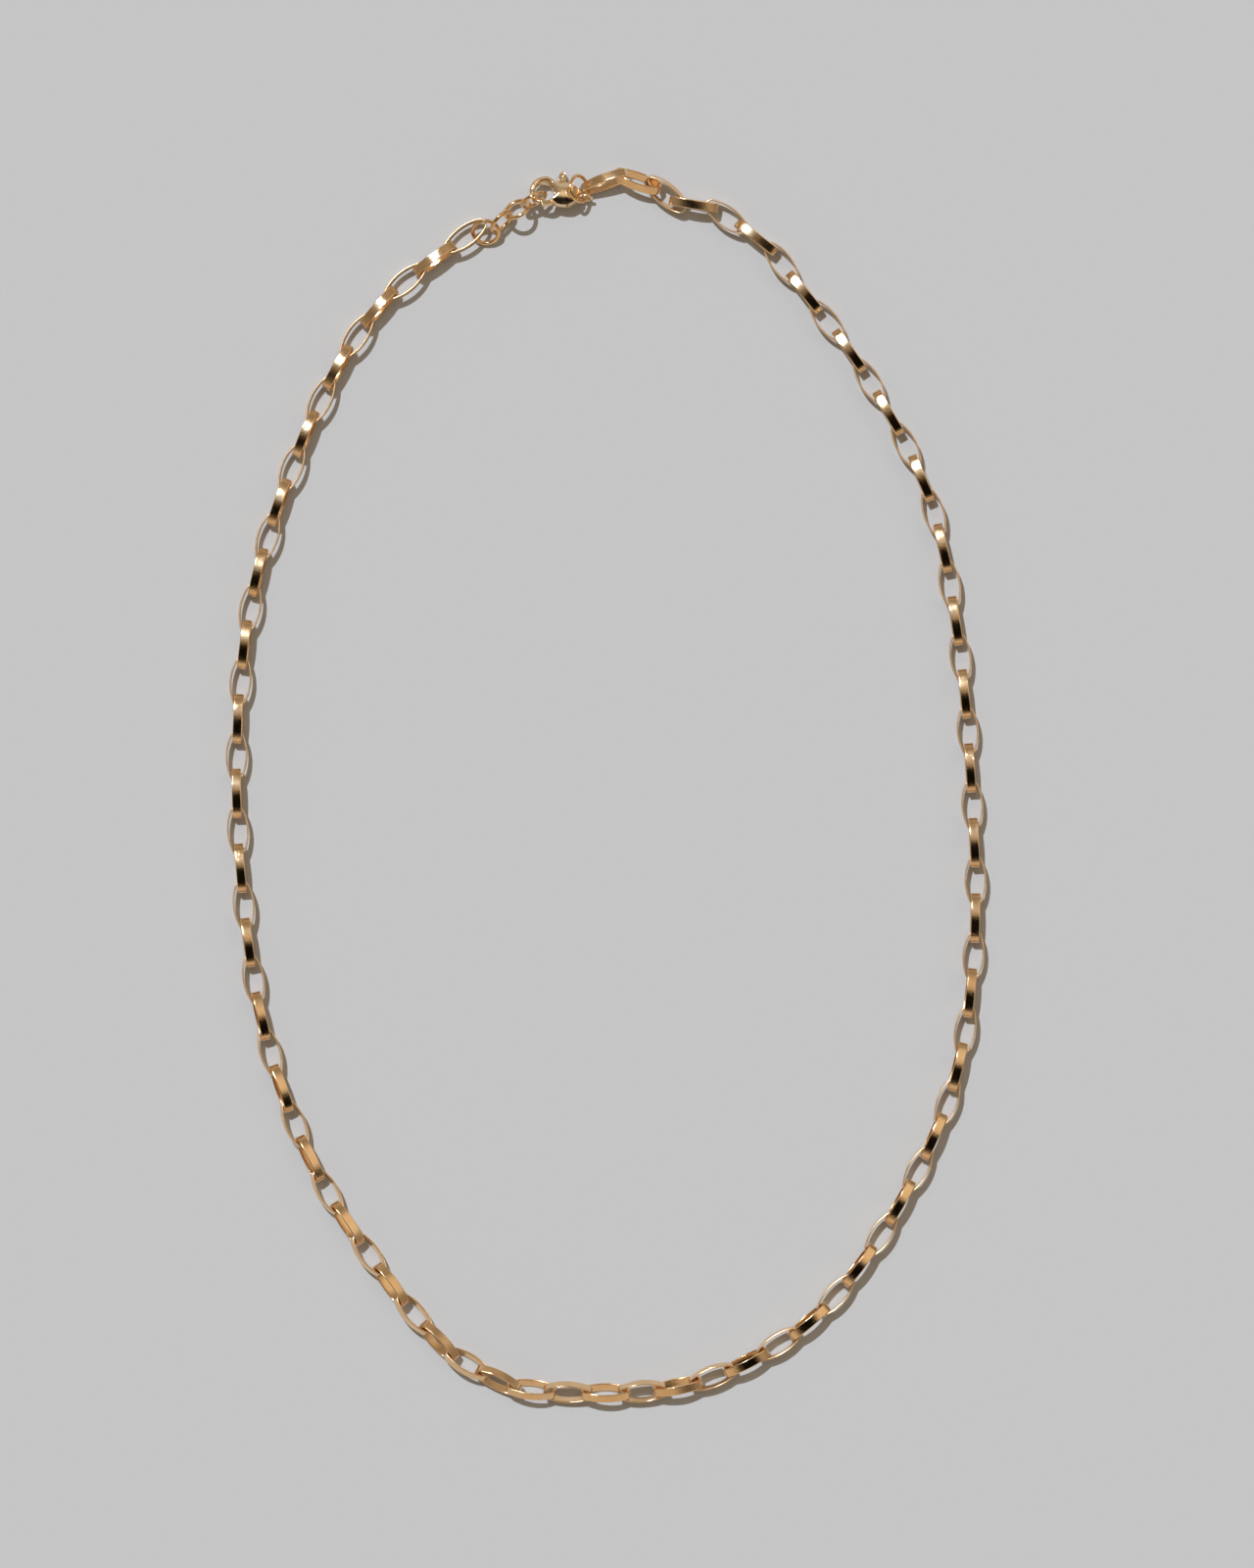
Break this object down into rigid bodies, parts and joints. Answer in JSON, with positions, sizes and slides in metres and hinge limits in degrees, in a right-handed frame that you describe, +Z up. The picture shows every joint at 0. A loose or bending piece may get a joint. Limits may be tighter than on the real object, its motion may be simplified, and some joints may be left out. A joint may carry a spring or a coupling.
{
  "type": "flat oval link chain necklace",
  "caption": "Closed necklace of flat oval strip links, each a quarter turn from the next, with jump rings and a lobster claw clasp, lying on a surface",
  "frame": {"origin": "centre of the loop's box on the surface that it lies on", "axes": "+Z up from the surface; +Y from the bottom of the loop toward the clasp, the longest way; +X to the right seen from above with the clasp at the top"},
  "size_m": [0.1099, 0.1787, 0.0047],
  "materials": {
    "link_gold": "polished gold",
    "ring_gold": "polished gold",
    "clasp_gold": "polished gold"
  },
  "bodies": {
    "root": {"chain": "link_gold", "link_ring": "ring_gold", "extension_ring_1": "ring_gold", "extension_ring_2": "ring_gold", "extension_ring_3": "ring_gold", "clasp_body": "clasp_gold", "clasp_pin": "clasp_gold", "tail_ring": "ring_gold"},
    "lever": {"clasp_lever": "clasp_gold"}
  },
  "joints": [
    {"name": "lever_hinge", "type": "hinge", "parent": "root", "child": "lever", "pos_m": [-0.00636, 0.08498, 0.00207], "axis": [-0.1758, -0.3882, -0.9047], "range_deg": [0, 14], "stiffness_Nm_per_rad": 0.005}
  ]
}
